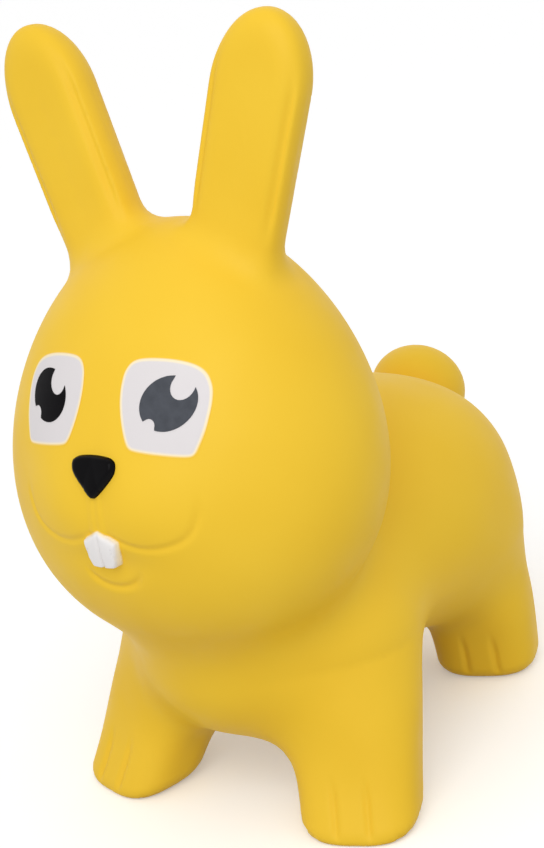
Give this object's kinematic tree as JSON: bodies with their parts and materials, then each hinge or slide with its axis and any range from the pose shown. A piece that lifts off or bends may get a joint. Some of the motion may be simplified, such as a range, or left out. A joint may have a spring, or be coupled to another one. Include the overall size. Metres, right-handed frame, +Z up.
{
  "type": "bunny hopper",
  "caption": "Blown-up hollow bunny that a small child sits on and bounces, with a round head, a saddle back, stubby legs and two upright ears held as handles.",
  "frame": {"origin": "on the floor under the middle of the hopper's outline", "axes": "+Z up, -Y the way the face looks, +X the bunny's left side"},
  "size_m": [0.2906, 0.476, 0.5886],
  "materials": {
    "yellow_vinyl": "satin",
    "plug_vinyl": "satin",
    "white_paint": "satin",
    "black_paint": "satin",
    "nose_gloss": "gloss"
  },
  "bodies": {
    "hopper": {"skin_body": "yellow_vinyl", "skin_head": "yellow_vinyl", "skin_leg_front_left": "yellow_vinyl", "skin_leg_front_right": "yellow_vinyl", "skin_leg_rear_left": "yellow_vinyl", "skin_leg_rear_right": "yellow_vinyl", "skin_tail": "yellow_vinyl", "eye_white_left": "white_paint", "eye_white_right": "white_paint", "teeth": "white_paint", "pupil_left": "black_paint", "pupil_right": "black_paint", "nose": "nose_gloss"},
    "ear_left": {"skin_ear_left": "yellow_vinyl"},
    "ear_right": {"skin_ear_right": "yellow_vinyl"},
    "plug": {"air_plug": "plug_vinyl"}
  },
  "joints": [
    {"name": "ear_left_flex", "type": "hinge", "parent": "hopper", "child": "ear_left", "pos_m": [0.0555, -0.10487, 0.43374], "axis": [0.9511, 0, -0.309], "range_deg": [-20, 20], "stiffness_Nm_per_rad": 3},
    {"name": "ear_right_flex", "type": "hinge", "parent": "hopper", "child": "ear_right", "pos_m": [-0.0555, -0.10487, 0.43374], "axis": [0.9511, 0, 0.309], "range_deg": [-20, 20], "stiffness_Nm_per_rad": 3},
    {"name": "plug_pull", "type": "slide", "parent": "hopper", "child": "plug", "axis": [0, 0, -1], "range_m": [0, 0.024]}
  ]
}
